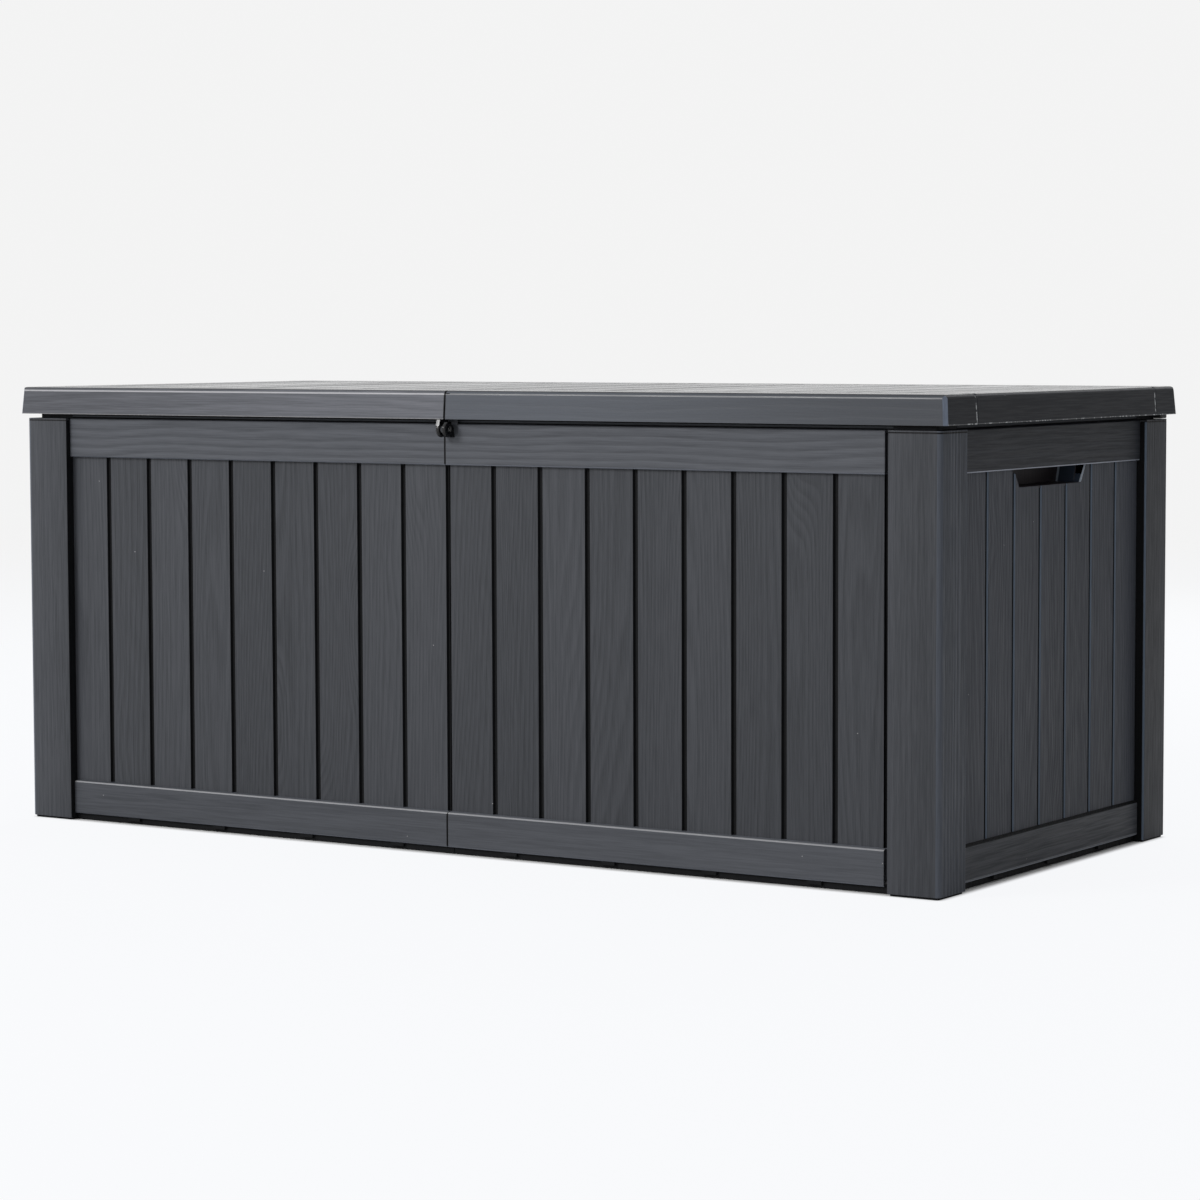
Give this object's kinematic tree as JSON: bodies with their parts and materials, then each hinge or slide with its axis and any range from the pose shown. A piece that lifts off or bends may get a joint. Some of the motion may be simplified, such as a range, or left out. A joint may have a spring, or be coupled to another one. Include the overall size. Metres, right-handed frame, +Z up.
{
  "type": "outdoor storage box",
  "caption": "Outdoor storage box in charcoal moulded resin with plank-pattern walls, corner posts, hinged lid on gas struts, hand scoops and padlock ears.",
  "frame": {"origin": "on the floor, midway between the ends and between front and back", "axes": "+X along the front to the right, +Y to the hinged back, +Z up"},
  "size_m": [1.55, 0.722, 0.644],
  "materials": {
    "charcoal_resin": "matte moulded resin with embossed wood grain",
    "black_resin": "matte moulded resin",
    "gloss_black": "glossy moulded plastic",
    "zinc_steel": "bright zinc plated",
    "coated_steel": "black powder coat, fine texture",
    "black_tube": "smooth black enamel",
    "bright_rod": "polished hard chrome"
  },
  "bodies": {
    "box": {"post_front_left": "charcoal_resin", "post_rear_left": "charcoal_resin", "post_cap_front_left": "charcoal_resin", "post_cap_rear_left": "charcoal_resin", "front_panel_left": "charcoal_resin", "rear_panel_left": "charcoal_resin", "side_panel_left": "charcoal_resin", "floor_panel_left": "black_resin", "strut_bracket_box_left": "coated_steel", "bracket_screws_box_left": "zinc_steel", "post_front_right": "charcoal_resin", "post_rear_right": "charcoal_resin", "post_cap_front_right": "charcoal_resin", "post_cap_rear_right": "charcoal_resin", "front_panel_right": "charcoal_resin", "rear_panel_right": "charcoal_resin", "side_panel_right": "charcoal_resin", "floor_panel_right": "black_resin", "strut_bracket_box_right": "coated_steel", "bracket_screws_box_right": "zinc_steel", "panel_joiner_front": "black_resin", "panel_joiner_rear": "black_resin", "floor_beam": "black_resin", "hinge_pins": "zinc_steel", "hinge_screws_box": "zinc_steel", "lock_ear_box": "gloss_black", "hinge_leaf_box_a": "coated_steel", "hinge_leaf_box_b": "coated_steel", "hinge_leaf_box_c": "coated_steel", "hinge_leaf_box_d": "coated_steel"},
    "lid": {"lid_panel_left": "charcoal_resin", "lid_panel_right": "charcoal_resin", "lid_joiner": "black_resin", "lid_tube_front": "zinc_steel", "lid_tube_rear": "zinc_steel", "lid_tube_saddles": "black_resin", "hinge_screws_lid": "zinc_steel", "bracket_screws_lid": "zinc_steel", "lock_ear_lid": "gloss_black", "strut_bracket_lid_left": "coated_steel", "strut_bracket_lid_right": "coated_steel", "hinge_leaf_lid_a": "coated_steel", "hinge_leaf_lid_b": "coated_steel", "hinge_leaf_lid_c": "coated_steel", "hinge_leaf_lid_d": "coated_steel"},
    "strut_cylinder_left": {"strut_cylinder_left": "black_tube", "strut_gland_left": "black_resin", "strut_eye_lower_left": "black_resin"},
    "strut_rod_left": {"strut_rod_left": "bright_rod", "strut_piston_left": "black_resin", "strut_eye_upper_left": "black_resin"},
    "strut_cylinder_right": {"strut_cylinder_right": "black_tube", "strut_gland_right": "black_resin", "strut_eye_lower_right": "black_resin"},
    "strut_rod_right": {"strut_rod_right": "bright_rod", "strut_piston_right": "black_resin", "strut_eye_upper_right": "black_resin"}
  },
  "joints": [
    {"name": "lid_hinge", "type": "hinge", "parent": "box", "child": "lid", "pos_m": [0, 0.356, 0.599], "axis": [-1, 0, 0], "range_deg": [0, 80]},
    {"name": "strut_lower_left", "type": "hinge", "parent": "box", "child": "strut_cylinder_left", "pos_m": [-0.716, 0.24045, 0.38865], "axis": [-1, 0, 0], "range_deg": [0, 40]},
    {"name": "strut_upper_left", "type": "hinge", "parent": "lid", "child": "strut_rod_left", "pos_m": [-0.716, 0.11683, 0.619], "axis": [-1, 0, 0], "range_deg": [-40, 0]},
    {"name": "strut_lower_right", "type": "hinge", "parent": "box", "child": "strut_cylinder_right", "pos_m": [0.716, 0.24045, 0.38865], "axis": [-1, 0, 0], "range_deg": [0, 40]},
    {"name": "strut_upper_right", "type": "hinge", "parent": "lid", "child": "strut_rod_right", "pos_m": [0.716, 0.11683, 0.619], "axis": [-1, 0, 0], "range_deg": [-40, 0]}
  ],
  "couplings": [
    {"joint": "strut_lower_left", "follows": "lid_hinge", "ratio": 0.5},
    {"joint": "strut_upper_left", "follows": "lid_hinge", "ratio": -0.5},
    {"joint": "strut_lower_right", "follows": "lid_hinge", "ratio": 0.5},
    {"joint": "strut_upper_right", "follows": "lid_hinge", "ratio": -0.5}
  ]
}
